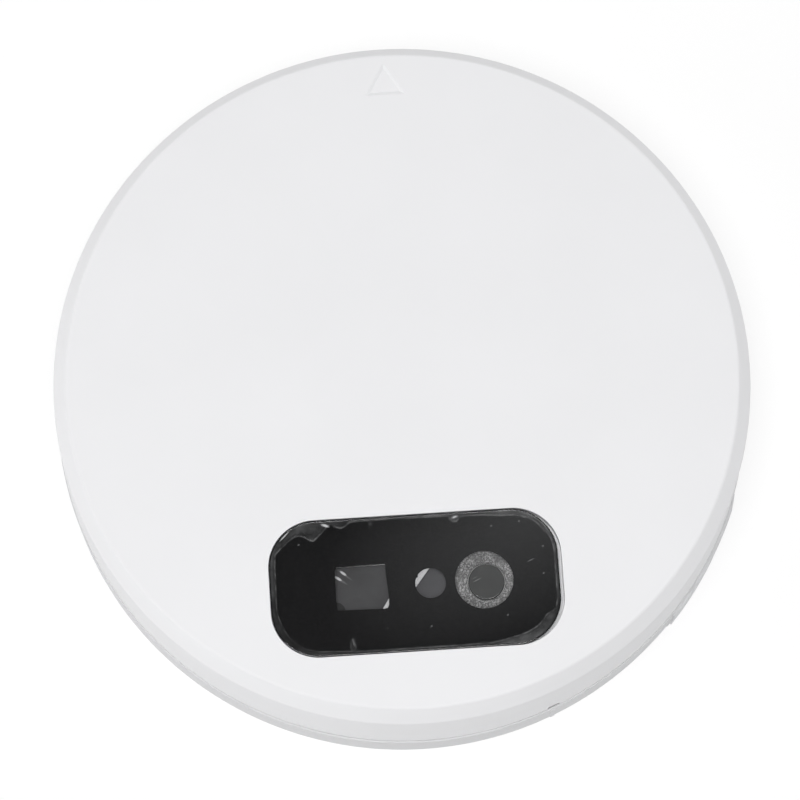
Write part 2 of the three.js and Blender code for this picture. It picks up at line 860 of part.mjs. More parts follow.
// A coil between the plunger's flange and the underside of the board.
function tamperSpring() {
  const wire = 0.15;
  const radius = plunger.tip + FIT + wire + 0.5;
  const fromZ = plungerFlangeZ + plunger.flange + wire + STACK_GAP;
  const toZ = boardZ - wire - STACK_GAP;
  const turns = 2;
  class Coil extends THREE.Curve {
    getPoint(t, target = new THREE.Vector3()) {
      const a = 2 * Math.PI * turns * t;
      return target.set(radius * Math.cos(a), radius * Math.sin(a), fromZ + (toZ - fromZ) * t);
    }
  }
  const section = new THREE.Shape().absarc(0, 0, wire, 0, 2 * Math.PI);
  return new THREE.ExtrudeGeometry(section, {
    extrudePath: new Coil(),
    steps: 40,
    curveSegments: 3,
  }).translate(...plungerAt, 0);
}
add(headGroup, "tamper_spring", tamperSpring(), steel);

// The tamper switch stands beside the plunger's hole and reaches over it with its lever arm.
const leverZ = plungerTipZ + plunger.travel + FIT;
add(
  headGroup,
  "tamper_switch",
  join(
    block(6, 3, onBoardZ, leverZ + 1 - onBoardZ, [plungerAt[0], plungerAt[1] + 4]),
    block(2.4, 6, leverZ, 1, [plungerAt[0], plungerAt[1] + 1.5]),
  ),
  blackPackage,
);

part.add(baseGroup, headGroup);
export default part;
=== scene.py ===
# %% [markdown]
# # A ceiling heat detector
# A low round white head with a dark sensor window, locked onto a wired base. The solids that
# carry size, joints and collision come in as a fixed frame. This script dresses them: it makes
# finer versions of what is seen, gives every part a finish, and lights a plain studio.

# %% Load the frame
import json
import math

import bmesh
import bpy
import numpy as np
from mathutils import Matrix, Vector


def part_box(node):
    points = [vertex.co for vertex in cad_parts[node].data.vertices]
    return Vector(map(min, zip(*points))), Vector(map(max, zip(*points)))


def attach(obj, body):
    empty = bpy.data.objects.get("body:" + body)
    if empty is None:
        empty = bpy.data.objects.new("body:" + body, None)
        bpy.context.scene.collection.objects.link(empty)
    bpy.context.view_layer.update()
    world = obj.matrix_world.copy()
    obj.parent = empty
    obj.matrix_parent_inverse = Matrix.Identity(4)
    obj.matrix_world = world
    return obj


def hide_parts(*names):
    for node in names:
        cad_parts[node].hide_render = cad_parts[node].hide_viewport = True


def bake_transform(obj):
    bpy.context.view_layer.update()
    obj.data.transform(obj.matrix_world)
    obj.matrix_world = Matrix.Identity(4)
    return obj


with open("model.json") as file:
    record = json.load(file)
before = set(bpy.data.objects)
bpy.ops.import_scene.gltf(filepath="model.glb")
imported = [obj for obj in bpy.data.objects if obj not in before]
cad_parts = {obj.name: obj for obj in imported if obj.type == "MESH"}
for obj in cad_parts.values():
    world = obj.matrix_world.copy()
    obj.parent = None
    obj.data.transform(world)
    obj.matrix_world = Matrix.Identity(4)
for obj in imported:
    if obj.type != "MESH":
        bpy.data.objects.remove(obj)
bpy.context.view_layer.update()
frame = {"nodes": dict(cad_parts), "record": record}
MM = 0.001
print("nodes in the frame:", len(frame["nodes"]))

# %% [markdown]
# ## Sizes
# Positions are read from the frame's boxes wherever a box can give them, so that the finer
# pieces stay with the solids. What a box can't say, such as a chamfer, is named here in mm.

# %% Sizes taken from the frame and named ones
cover_low, cover_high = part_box("front_cover")
base_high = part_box("mounting_base")[1]
panel_low, panel_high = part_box("window_panel")
film_low, film_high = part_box("protective_film")
mask_low, mask_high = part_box("window_mask")
filter_low, filter_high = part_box("thermal_filter")
lens_low, lens_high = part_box("ring_lens")

FACE_Z = cover_high.z / MM
LIP_Z = cover_low.z / MM
LIP_R = cover_high.x / MM
EDGE_R = LIP_R - 0.5  # the wall's draft, from the lip to the chamfer's foot
FACE_R = EDGE_R - 2.15
CHAMFER_DROP = 2.85
BASE_R = 60.0
BASE_TOP = base_high.z / MM
WALL = 2.0
PANEL_Y = (panel_low.y + panel_high.y) / 2 / MM
PANEL_X = (panel_low.x + panel_high.x) / 2 / MM
PANEL_LENGTH = (panel_high.x - panel_low.x) / MM
PANEL_WIDTH = (panel_high.y - panel_low.y) / MM
PANEL_CORNER = 7.9
SQUARE_X, ROUND_X, RING_X = -9.1, 2.4, 11.4  # the window's three openings, along X
print("face radius", round(FACE_R, 2), "panel", round(PANEL_LENGTH, 1), "x", round(PANEL_WIDTH, 1))

# %% [markdown]
# ## Small mesh tools
# Most parts here are turned or are flat outlines with some height, so two makers cover them:
# one spins a profile about Z, the other stacks copies of an outline and skins between them.
# A profile's corners are given with a radius, because no moulded edge is truly sharp.


# %% Profiles, outlines and meshes
def mesh_piece(name, verts, faces, sharp=35.0):
    """A smooth-shaded object from points in mm, with edges sharper than an angle kept crisp."""
    mesh = bpy.data.meshes.new(name)
    mesh.from_pydata([(x * MM, y * MM, z * MM) for x, y, z in verts], [], faces)
    bm = bmesh.new()
    bm.from_mesh(mesh)
    bmesh.ops.remove_doubles(bm, verts=bm.verts, dist=1e-7)
    bmesh.ops.recalc_face_normals(bm, faces=bm.faces)
    bm.to_mesh(mesh)
    bm.free()
    mesh.shade_smooth()
    mesh.set_sharp_from_angle(angle=math.radians(sharp))
    piece = bpy.data.objects.new(name, mesh)
    bpy.context.scene.collection.objects.link(piece)
    return piece


def rounded(profile, steps=4):
    """A closed or open chain of (r, z, radius) corners, each turned into a short arc."""
    out = []
    last = len(profile) - 1
    for i, (r, z, radius) in enumerate(profile):
        if radius == 0 or i in (0, last):
            out.append((r, z))
            continue
        here = Vector((r, z))
        before = (Vector(profile[i - 1][:2]) - here).normalized()
        after = (Vector(profile[i + 1][:2]) - here).normalized()
        half = before.angle(after) / 2
        reach = radius / math.tan(half)
        centre = here + (before + after).normalized() * (radius / math.sin(half))
        start, end = here + before * reach - centre, here + after * reach - centre
        for k in range(steps + 1):
            t = k / steps
            d = (start * (1 - t) + end * t).normalized() * radius
            out.append(tuple(centre + d))
    return out


def turned(name, profile, around=256, sharp=35.0):
    """Spins a closed profile of (r, z) about Z. A point on the axis becomes a pole."""
    verts, rings = [], []
    for r, z in profile:
        if r < 1e-6:
            rings.append([len(verts)] * around)
            verts.append((0, 0, z))
            continue
        rings.append([len(verts) + k for k in range(around)])
        verts += [(x, y, z) for x, y in circle(r, steps=around)]
    faces = []
    closed = profile[0][0] > 1e-6 or profile[-1][0] > 1e-6
    pairs = list(zip(rings, rings[1:])) + ([(rings[-1], rings[0])] if closed else [])
    for low, high in pairs:
        for k in range(around):
            n = (k + 1) % around
            corners = [low[k], low[n], high[n], high[k]]
            faces.append([c for j, c in enumerate(corners) if c not in corners[:j]])
    return mesh_piece(name, verts, [f for f in faces if len(f) > 2], sharp)


def polar(radius, degrees):
    """A point in the XY plane at a radius and an angle."""
    turn = math.radians(degrees)
    return radius * math.cos(turn), radius * math.sin(turn)


def pill(length, width, corner, x=0.0, y=0.0, steps=16):
    """The outline of a rectangle with round corners, anticlockwise, as (x, y) in mm."""
    points = []
    for quarter, (sx, sy) in enumerate([(1, 1), (-1, 1), (-1, -1), (1, -1)]):
        cx, cy = x + sx * (length / 2 - corner), y + sy * (width / 2 - corner)
        for k in range(steps + 1):
            a = math.pi / 2 * (quarter + k / steps)
            points.append((cx + corner * math.cos(a), cy + corner * math.sin(a)))
    return points


def circle(radius, x=0.0, y=0.0, steps=72):
    turns = [2 * math.pi * k / steps for k in range(steps)]
    return [(x + radius * math.cos(a), y + radius * math.sin(a)) for a in turns]


def skin(loops, count):
    """Faces between each loop of count points and the next one."""
    faces = []
    for low in range(0, (loops - 1) * count, count):
        high = low + count
        for k in range(count):
            n = (k + 1) % count
            faces.append([low + k, low + n, high + n, high + k])
    return faces


def stacked(name, layers, sharp=35.0):
    """Skins between outlines of equal point count, given as (outline, z), and caps both ends."""
    count = len(layers[0][0])
    verts = [(x, y, z) for outline, z in layers for x, y in outline]
    last = (len(layers) - 1) * count
    faces = [list(range(count))[::-1], [last + k for k in range(count)]]
    return mesh_piece(name, verts, faces + skin(len(layers), count), sharp)


def upright(name, outline, low, high):
    """A piece with straight walls from one outline."""
    return stacked(name, [(outline, low), (outline, high)])


def grown_pill(length, width, corner, x=0.0, y=0.0, steps=16):
    """A function that gives a pill's outline with its sides moved out by any amount."""

    def outline(grow):
        return pill(length + 2 * grow, width + 2 * grow, corner + grow, x, y, steps)

    return outline


def grown_circle(radius, x, y, steps):
    """The same for a circle."""

    def outline(grow):
        return circle(radius + grow, x, y, steps)

    return outline


def placed(piece, matrix):
    piece.data.transform(matrix)
    return piece


def plain_mesh(piece):
    """Turns a piece with its modifiers into the mesh they give."""
    graph = bpy.context.evaluated_depsgraph_get()
    mesh = bpy.data.meshes.new_from_object(piece.evaluated_get(graph))
    piece.modifiers.clear()
    piece.data = mesh
    return piece


def carve(piece, *cutters):
    """Takes the cutters' space out of a piece, and removes them."""
    for cutter in cutters:
        cut = piece.modifiers.new("cut", "BOOLEAN")
        cut.operation, cut.solver, cut.object = "DIFFERENCE", "EXACT", cutter
    plain_mesh(piece)
    for cutter in cutters:
        bpy.data.objects.remove(cutter)
    return piece


def even_shading(piece, sharp=35.0):
    """Keeps broad flat faces flat where a rounded edge runs into them."""
    piece.data.shade_smooth()
    piece.data.set_sharp_from_angle(angle=math.radians(sharp))
    weigh = piece.modifiers.new("even", "WEIGHTED_NORMAL")
    weigh.keep_sharp = True
    weigh.weight = 100
    return plain_mesh(piece)


# %% [markdown]
# ## Finishes
# A node tree is a recipe. Each finish below starts from the Principled shader and adds what the
# eye expects at arm's length: a fine spark-eroded grain on moulded plastic, print that is a touch
# less glossy than the panel over it, solder mask that shows copper lines. Patterns read Object
# coordinates, so they stay put on the part when it turns.


# %% A helper for node trees
class Recipe:
    """Adds nodes to one material by type, and links them by socket name."""

    def __init__(self, name, color, roughness, metallic=0.0):
        self.material = bpy.data.materials.new(name)
        self.material.use_nodes = True
        self.tree = self.material.node_tree
        self.shader = self.tree.nodes["Principled BSDF"]
        self.shader.inputs["Base Color"].default_value = (*color, 1.0)
        self.shader.inputs["Roughness"].default_value = roughness
        self.shader.inputs["Metallic"].default_value = metallic
        self.place = self.node("ShaderNodeTexCoord").outputs["Object"]

    def node(self, kind, **values):
        made = self.tree.nodes.new(kind)
        for key, value in values.items():
            if hasattr(made, key):
                setattr(made, key, value)
            else:
                made.inputs[key.replace("_", " ")].default_value = value
        return made

    def link(self, out, into):
        self.tree.links.new(out, into)
        return self

    def noise(self, scale, detail=2.0, place=None):
        made = self.node("ShaderNodeTexNoise", Scale=scale, Detail=detail)
        self.link(place or self.place, made.inputs["Vector"])
        return made.outputs["Fac"]

    def spread(self, value, low, high, to_low, to_high):
        ends = {"From_Min": low, "From_Max": high, "To_Min": to_low, "To_Max": to_high}
        made = self.node("ShaderNodeMapRange", **ends)
        self.link(value, made.inputs["Value"])
        return made.outputs["Result"]

    def blend(self, factor, first, second):
        made = self.node("ShaderNodeMix", data_type="RGBA")
        self.link(factor, made.inputs["Factor"])
        for socket, color in ((made.inputs["A"], first), (made.inputs["B"], second)):
            if isinstance(color, tuple):
                socket.default_value = (*color, 1.0)
            else:
                self.link(color, socket)
        return made.outputs["Result"]

    def bump(self, height, strength, distance):
        made = self.node("ShaderNodeBump", Strength=strength, Distance=distance)
        self.link(height, made.inputs["Height"])
        self.link(made.outputs["Normal"], self.shader.inputs["Normal"])
        return self

    def color(self, out):
        return self.link(out, self.shader.inputs["Base Color"])

    def roughness(self, out):
        return self.link(out, self.shader.inputs["Roughness"])


# %% [markdown]
# ### White moulded plastic
# The case is white styrene blend with a fine matt texture eroded into the tool. Two noises do it:
# a very fine one for the grain, and a broad faint one, because a moulding is never one exact tone.


# %% White plastic
def white_plastic(name="white_moulding", color=(0.848, 0.848, 0.862), grain=0.10):
    r = Recipe(name, color, 0.5)
    broad = r.noise(45.0, 3.0)
    dim = tuple(c * 0.985 for c in color)
    r.color(r.blend(r.spread(broad, 0.35, 0.65, 0, 1), dim, color))
    fine = r.noise(5200.0, 2.0)
    r.roughness(r.spread(fine, 0.3, 0.7, 0.44, 0.56))
    r.bump(fine, grain, 0.00006)
    r.shader.inputs["Specular IOR Level"].default_value = 0.35
    return r.material


case_white = white_plastic()
inner_white = white_plastic("white_inner_moulding", (0.74, 0.74, 0.735), 0.06)
base_white = white_plastic("white_base_moulding", (0.7, 0.7, 0.712))
# The carrier is white plastic, made whiter than the other inner mouldings: painted light, as it
# sits in shade deep behind the window.
carrier_white = white_plastic("white_carrier", (0.96, 0.96, 0.96), 0.04)

# %% [markdown]
# ### The window's layers
# The panel is a tinted clear plate over a black print with three openings. A real clear plate
# needs light to find its way through glass, which is slow to render clean. A part-transparent
# gloss over the print gives the same look: 4 percent of the room reflected, dimmed by the tint. Its
# cut edge is fully dark, which a vertex attribute named rim says.

# %% Panel, print, filters
panel_recipe = Recipe("tinted_panel", (0.012, 0.012, 0.013), 0.05)
rim_value = panel_recipe.node("ShaderNodeAttribute", attribute_name="rim").outputs["Fac"]
tint = panel_recipe.spread(rim_value, 0.0, 1.0, 0.12, 1.0)
panel_recipe.link(tint, panel_recipe.shader.inputs["Alpha"])
smears = panel_recipe.noise(900.0, 4.0)
panel_recipe.roughness(panel_recipe.spread(smears, 0.4, 0.7, 0.04, 0.09))
panel_recipe.material.surface_render_method = "BLENDED"

print_recipe = Recipe("black_print", (0.006, 0.006, 0.0065), 0.6)
print_recipe.shader.inputs["Specular IOR Level"].default_value = 0.12
print_tone = print_recipe.spread(print_recipe.noise(2500.0), 0.4, 0.75, 0, 1)
print_recipe.color(print_recipe.blend(print_tone, (0.004, 0.004, 0.0044), (0.009, 0.009, 0.0095)))


def grey_filter(name, color):
    r = Recipe(name, color, 0.22)
    cloud = r.noise(260.0, 3.0)
    r.color(r.blend(r.spread(cloud, 0.35, 0.7, 0, 1), color, tuple(c * 1.18 for c in color)))
    return r


square_recipe = grey_filter("square_filter_grey", (0.085, 0.085, 0.088))
round_recipe = grey_filter("round_filter_grey", (0.108, 0.108, 0.116))
lens_recipe = grey_filter("ring_lens_grey", (0.075, 0.077, 0.076))

# %% [markdown]
# ### The frosted ring
# The light ring is moulded with a sparkling texture. A fine noise, cut hard, picks out bright
# specks over a mid grey, and drives the bump too, so the specks are also rough to the light.

# %% Frosted ring
frost = Recipe("frosted_ring", (0.3, 0.3, 0.3), 0.55)
specks = frost.spread(frost.noise(4300.0, 3.0), 0.44, 0.66, 0.0, 1.0)
patches = frost.spread(frost.noise(900.0, 2.0), 0.3, 0.7, 0.25, 1.1)
mixed = frost.node("ShaderNodeMath", operation="MULTIPLY")
frost.link(specks, mixed.inputs[0])
frost.link(patches, mixed.inputs[1])
frost.color(frost.blend(mixed.outputs["Value"], (0.15, 0.15, 0.152), (0.85, 0.85, 0.85)))
frost.bump(specks, 0.35, 0.00008)

# %% [markdown]
# ### Boards, packages and metals
# These are hidden while the unit is whole, but they show through gaps and in an opened view.


# %% Boards, packages and metals
def board_green(name):
    r = Recipe(name, (0.02, 0.12, 0.045), 0.35)
    tracks = {"Scale": 260.0, "Mortar_Size": 0.05, "Brick_Width": 0.9, "Row_Height": 0.3}
    lines = r.node("ShaderNodeTexBrick", **tracks)
    r.link(r.place, lines.inputs["Vector"])
    r.color(r.blend(lines.outputs["Fac"], (0.018, 0.11, 0.04), (0.05, 0.22, 0.08)))
    r.bump(lines.outputs["Fac"], 0.25, 0.00004)
    return r.material


def black_package(name, color=(0.018, 0.018, 0.019), roughness=0.5):
    r = Recipe(name, color, roughness)
    fine = r.noise(3000.0)
    r.color(r.blend(fine, color, tuple(c * 1.5 for c in color)))
    r.bump(fine, 0.15, 0.00005)
    return r.material


def metal(name, color, roughness):
    r = Recipe(name, color, roughness, 1.0)
    streak = r.node("ShaderNodeMapping")
    streak.inputs["Scale"].default_value = (1.0, 1.0, 12.0)
    r.link(r.place, streak.inputs["Vector"])
    lines = r.noise(900.0, 3.0, streak.outputs["Vector"])
    r.roughness(r.spread(lines, 0.3, 0.7, roughness * 0.7, roughness * 1.3))
    r.color(r.blend(lines, tuple(c * 0.88 for c in color), color))
    return r.material


green = board_green("board_green")
package = black_package("black_package")
rubber = black_package("black_rubber", (0.02, 0.02, 0.021), 0.85)
steel = metal("plated_steel", (0.62, 0.63, 0.64), 0.3)
brass = metal("contact_brass", (0.72, 0.53, 0.24), 0.28)

# %% [markdown]
# Every solid of the frame that stays in view gets one of these finishes by its material slot.

# %% Finishes for the frame's own solids
BY_SLOT = {
    "white_plastic": inner_white,
    "board_green": green,
    "black_package": package,
    "bright_steel": steel,
    "contact_brass": brass,
    "black_rubber": rubber,
    "dark_panel": panel_recipe.material,
    "black_print": print_recipe.material,
    "grey_filter": square_recipe.material,
    "frosted_plastic": frost.material,
}


def finish(piece, material):
    piece.data.materials.clear()
    piece.data.materials.append(material)
    return piece


for entry in frame["record"]["subparts"]:
    if entry["material_slot"] in BY_SLOT:
        finish(frame["nodes"][entry["node"]], BY_SLOT[entry["material_slot"]])

finish(frame["nodes"]["sensor_holder"], carrier_white)

# %% [markdown]
# ## The head's cover
# The cover is a turned shell: flat face, narrow chamfer, a wall that widens a hair towards its
# lip, and a lip rounded where the two halves of the tool meet. The pocket for the window, the
# openings under it, the arrow and the lip's notch are carved after. The cutters of the pocket, the
# arrow and the notch open out a little at the top, which leaves the small broken edge that light
# catches; the openings are cut straight.


# %% Turn the cover
SHELL = 2.2  # thickness of the flat face
cover = turned(
    "head_cover",
    rounded(
        [
            (0, FACE_Z - SHELL, 0),
            (FACE_R - 2.0, FACE_Z - SHELL, 1.0),
            (EDGE_R - WALL, FACE_Z - CHAMFER_DROP - SHELL, 1.2),
            (LIP_R - WALL, LIP_Z, 0.3),
            (LIP_R, LIP_Z, 0.42),
            (EDGE_R, FACE_Z - CHAMFER_DROP, 1.1),
            (FACE_R, FACE_Z, 0.7),
            (0, FACE_Z, 0),
        ],
        6,
    ),
)

# %% Carve the window pocket, the openings, the arrow and the notch
POCKET_LENGTH, POCKET_WIDTH, POCKET_CORNER = 49.1, 23.34, 8.02
POCKET_DEPTH = 1.75
ARROW_X, ARROW_DEPTH = 0.3, 0.23
NOTCH_HEIGHT, NOTCH_WIDTH, NOTCH_DEPTH = 5.6, 2.0, 0.24  # half of the height is below the lip
ABOVE = 0.3  # how far the shallow cutters stand clear of the surface they cut
LOCKED, OPENED, PAD_END = 292.0, 316.0, 340.5  # degrees: first rib, end of the turn, panel's end


def flared(name, outline_of, top, bottom, flare=0.05):
    """A cutter from bottom up past top, whose last part opens out to leave a broken edge."""
    straight = [(outline_of(0), bottom), (outline_of(0), top - flare)]
    return stacked(name, straight + [(outline_of(flare), top), (outline_of(flare + 1), top + 1)])


def arrow(grow):
    """The arrow sign: a triangle with its tip towards +Y."""
    half, foot, tip = 2.55 + grow * 1.7, 50.5 - grow, 54.75 + grow * 2
    return [(ARROW_X - half, foot), (ARROW_X + half, foot), (ARROW_X, tip)]


def radial(angle, radius, z):
    """Carries a shape made round the Z axis so that its axis lies along a radius of the case."""
    return (
        Matrix.Rotation(math.radians(angle), 4, "Z")
        @ Matrix.Translation((radius * MM, 0, z * MM))
        @ Matrix.Rotation(math.pi / 2, 4, "Y")
    )


pocket_outline = grown_pill(POCKET_LENGTH, POCKET_WIDTH, POCKET_CORNER, 0, PANEL_Y)
pocket = flared("pocket", pocket_outline, FACE_Z, FACE_Z - POCKET_DEPTH)
PORT_BOTTOM, PORT_TOP = 20, 26
# One corner of the square port and one side of the round one stay closed, and show white.
SQUARE_PORT = [(-4.85, 4.35), (-4.85, -4.35), (2.88, -4.35), (4.85, -1.42), (4.85, 4.35)]
FLAT_SIDE = 141.6  # degrees, the way the flat side of the round port and its filter faces


def cut_circle(radius, x, y, angle, distance, steps=64):
    """A circle with one side cut off by a line, at an angle and distance from its centre."""
    half, facing = math.acos(distance / radius), math.radians(angle)
    turns = [facing + half + (2 * math.pi - 2 * half) * k / steps for k in range(steps + 1)]
    return [(x + radius * math.cos(a), y + radius * math.sin(a)) for a in turns]


port_outlines = [
    [(SQUARE_X + x, PANEL_Y + y) for x, y in SQUARE_PORT],
    cut_circle(3.15, ROUND_X, PANEL_Y, FLAT_SIDE, 1.66),
    circle(5.5, RING_X, PANEL_Y),
]
ports = [upright("port", outline, PORT_BOTTOM, PORT_TOP) for outline in port_outlines]
arrow_cutter = stacked(
    "arrow", [(arrow(0), FACE_Z - ARROW_DEPTH), (arrow(1.25), FACE_Z + ABOVE)]
)
notch_outline = grown_pill(NOTCH_HEIGHT, NOTCH_WIDTH, 0.98)
notch = stacked("notch", [(notch_outline(0), -NOTCH_DEPTH), (notch_outline(0.4), ABOVE)])
placed(notch, radial(LOCKED, LIP_R, LIP_Z))
carve(cover, pocket, *ports, arrow_cutter, notch)
even_shading(cover, 18)  # the arrow's sides slope gently and would be smoothed away at 35
finish(cover, case_white)
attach(cover, "head")
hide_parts("front_cover")
print("cover faces", len(cover.data.polygons))

# %% [markdown]
# ## Copies round a ring
# The base has three hooks, four terminal pads, six shallow pockets and a ring of ejector marks on
# its rear, each the same shape turned about the axis. One Geometry Nodes tree does them all: it
# puts a point per copy at the centre, turns each copy by its index, and makes the copies real.


# %% The ring tree
def ring_tree():
    tree = bpy.data.node_groups.new("Copies round a ring", "GeometryNodeTree")
    face = tree.interface
    face.new_socket("Geometry", in_out="INPUT", socket_type="NodeSocketGeometry")
    kinds = {"Count": "Int", "First angle": "Float", "Step angle": "Float", "Finish": "Material"}
    for name, kind in kinds.items():
        face.new_socket(name, in_out="INPUT", socket_type="NodeSocket" + kind)
    face.new_socket("Geometry", in_out="OUTPUT", socket_type="NodeSocketGeometry")
    new, link = tree.nodes.new, tree.links.new
    given, result = new("NodeGroupInput"), new("NodeGroupOutput")
    points, copies = new("GeometryNodePoints"), new("GeometryNodeInstanceOnPoints")
    turn, place = new("ShaderNodeMath"), new("ShaderNodeCombineXYZ")
    index, real = new("GeometryNodeInputIndex"), new("GeometryNodeRealizeInstances")
    coat = new("GeometryNodeSetMaterial")
    turn.operation = "MULTIPLY_ADD"
    link(given.outputs["Count"], points.inputs["Count"])
    link(points.outputs[0], copies.inputs["Points"])
    link(given.outputs["Geometry"], copies.inputs["Instance"])
    link(index.outputs[0], turn.inputs[0])
    link(given.outputs["Step angle"], turn.inputs[1])
    link(given.outputs["First angle"], turn.inputs[2])
    link(turn.outputs[0], place.inputs["Z"])
    link(place.outputs[0], copies.inputs["Rotation"])
    link(copies.outputs[0], real.inputs[0])
    link(real.outputs[0], coat.inputs["Geometry"])
    link(given.outputs["Finish"], coat.inputs["Material"])
    link(coat.outputs[0], result.inputs[0])
    return tree


RING = ring_tree()


def ring_of(piece, count, first, step=None, material=None):
    """Replaces a piece's mesh by copies of it turned about Z."""
    nodes = piece.modifiers.new("ring", "NODES")
    nodes.node_group = RING
    values = {
        "Count": count,
        "First angle": math.radians(first),
        "Step angle": math.radians(360 / count if step is None else step),
        "Finish": material or case_white,
    }
    for item in RING.interface.items_tree:
        if item.item_type == "SOCKET" and item.name in values:
            nodes[item.identifier] = values[item.name]
    plain_mesh(piece)
    print(piece.name, "copies", count, "faces", len(piece.data.polygons))
    return piece


# %% [markdown]
# ## The mounting base
# The base is a shallow cup with a hole for the cable. It is turned like the cover, then gets its
# hooks and pads added and its pockets and screw slots taken away.


# %% Turn the base
def sector(inner, outer, start, end, steps=24):
    """The outline of part of a ring, in degrees."""
    there = [start + (end - start) * k / steps for k in range(steps + 1)]
    return [polar(outer, a) for a in there] + [polar(inner, a) for a in reversed(there)]


def add_to(piece, *others):
    """Joins the others to a piece, and removes them."""
    for other in others:
        weld = piece.modifiers.new("weld", "BOOLEAN")
        weld.operation, weld.solver, weld.object = "UNION", "EXACT", other
    plain_mesh(piece)
    for other in others:
        bpy.data.objects.remove(other)
    return piece


FLOOR = 1.8
ROOT = 1.3  # added shapes start inside the floor
CABLE_HOLE_R = 11.0
HOOK_IN, HOOK_OUT, SPIGOT_R = 53.0, 54.5, 50.5
LUG_TOP = LIP_Z - 2.0 - 3.4 + 1.6  # drop to the rear cover, its spigot's depth, a lug's height
LEDGE_BOTTOM = LUG_TOP + 0.3
HOOK_TOP = LUG_TOP + 0.3 + 1.1
FIRST_HOOK = 32.0
base = turned(
    "base_shell",
    rounded(
        [
            (CABLE_HOLE_R, 0, 0),
            (BASE_R - 0.5, 0, 0.3),
            (BASE_R, 0.5, 0.3),
            (BASE_R, BASE_TOP, 0.2),  # from here the rim slopes inwards, which darkens the seam
            (BASE_R - 0.4, BASE_TOP, 0.1),
            (BASE_R - 1.3, BASE_TOP - 1.6, 0.1),
            (BASE_R - WALL, BASE_TOP - 1.6, 0.2),
            (BASE_R - WALL, FLOOR, 0.5),
            (CABLE_HOLE_R, FLOOR, 0),
        ],
        5,
    ),
)
# No face of a hook's three shapes lies in a face of another, and a small turn keeps the base's
# facets off the facets of what is added to it. Shared planes would leave an open seam there.
hook = upright("hook", sector(HOOK_IN, HOOK_OUT, -11, 11), ROOT, HOOK_TOP)
ledge_outline = sector(SPIGOT_R + 0.3, HOOK_IN + 0.4, -10.8, 10.9)
stop_outline = sector(SPIGOT_R + 0.35, HOOK_OUT - 0.05, -13, -10.92, 4)
add_to(
    hook,
    upright("ledge", ledge_outline, LEDGE_BOTTOM, HOOK_TOP - 0.05),
    upright("stop", stop_outline, ROOT, HOOK_TOP - 0.1),
)
placed(base, Matrix.Rotation(math.radians(0.37), 4, "Z"))
ring_of(hook, 3, FIRST_HOOK)

TERMINAL_R = SPIGOT_R - 1.8 - 2 - 8.4  # spigot's wall, gap, width of a terminal plate
to_terminal = Matrix.Translation((TERMINAL_R * MM, 0, 0))
pad_outline = grown_pill(9.4, 18.0, 0.4)
terminal_pad = stacked(
    "terminal_pad", [(pad_outline(0), ROOT), (pad_outline(0), 2.9), (pad_outline(-0.1), 3.0)]
)
ring_of(placed(terminal_pad, to_terminal), 4, 45)

# %% [markdown]
# The two fine ribs on the base's wall show where the notch stands when the head is locked and when
# it is free. Beside the second is a thin panel that is cut out for a surface cable.

# %% Ribs, knock-out panel and tamper pad
SECOND_RIB = OPENED + 0.9
rib = stacked(
    "lock_rib",
    [
        (pill(0.24, 0.8, 0.1, BASE_R), 0.5),
        (pill(0.24, 0.8, 0.1, BASE_R), BASE_TOP - 0.6),
        (pill(0.14, 0.6, 0.05, BASE_R), BASE_TOP - 0.45),
    ],
)
ring_of(rib, 2, LOCKED, SECOND_RIB - LOCKED)

PANEL_PROUD = 0.45
PANEL_STEPS = 48


def panel_arc(grow):
    """The knock-out's outline: proud of the wall, and running out into it at its far end."""
    start, end = OPENED + 1.2 - grow * 0.6, PAD_END + grow * 0.6
    turns = [start + (end - start) * k / PANEL_STEPS for k in range(PANEL_STEPS + 1)]
    fade = [min(1.0, (PAD_END + 0.7 - a) / 3.5) for a in turns]
    outer = [polar(BASE_R + grow + PANEL_PROUD * f, a) for f, a in zip(fade, turns)]
    return outer + sector(BASE_R - 0.5, BASE_R, start, end, PANEL_STEPS)[PANEL_STEPS + 1 :]


knock_out = stacked(
    "knock_out",
    [
        (panel_arc(-0.2), 0.5),
        (panel_arc(0), 0.7),
        (panel_arc(0), BASE_TOP - 0.75),
        (panel_arc(-0.2), BASE_TOP - 0.5),
    ],
)
tamper_outline = circle(3.2, 0, 17)
tamper_pad = stacked(
    "tamper_pad", [(tamper_outline, ROOT), (tamper_outline, 2.95), (circle(3.05, 0, 17), 3.1)]
)
add_to(base, hook, terminal_pad, rib, knock_out, tamper_pad)

# %% Take away pockets, slots, screw wells and ejector marks
HALF_RIB = 3.5  # half the width of a flat rib on the rear


def relief(grow, steps=20):
    """One rear pocket between two flat ribs, centred on +X."""

    def arc(radius):
        half = 30.0 - math.degrees(math.asin((HALF_RIB - grow) / radius))
        return [polar(radius, half * (2 * k / steps - 1)) for k in range(steps + 1)]

    return arc(BASE_R - 6.0 + grow) + arc(17.0 - grow)[::-1]


pockets = stacked(
    "pockets", [(relief(0.6), -0.5), (relief(0.15), 0), (relief(0), 0.15), (relief(0), 0.5)]
)
ring_of(pockets, 6, 30)
marks = ring_of(upright("marks", circle(1.6, 45, 0, 32), 0.3, 0.58), 12, 15)
wells = placed(upright("wells", circle(1.7, 0, -4.25, 32), 1.0, 4), to_terminal)
ring_of(wells, 4, 45)
slots = stacked(
    "slots",
    [
        (pill(15.6, 6.2, 3.05, 28), -0.5),
        (pill(15.6, 6.2, 3.05, 28), 0),
        (pill(14.0, 4.6, 2.28, 28), 0.3),
        (pill(14.0, 4.6, 2.28, 28), 3),
    ],
)
ring_of(slots, 2, 0)
carve(base, pockets, marks, wells, slots)
even_shading(base)
finish(base, base_white)
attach(base, "base")
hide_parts("mounting_base")
print("base faces", len(base.data.polygons))

# %% [markdown]
# ## The sensor window
# From the front: protective film, tinted panel, black print with three openings, then the grey
# filters and the frosted ring in a white carrier. Circles are drawn finer than the solids' own.


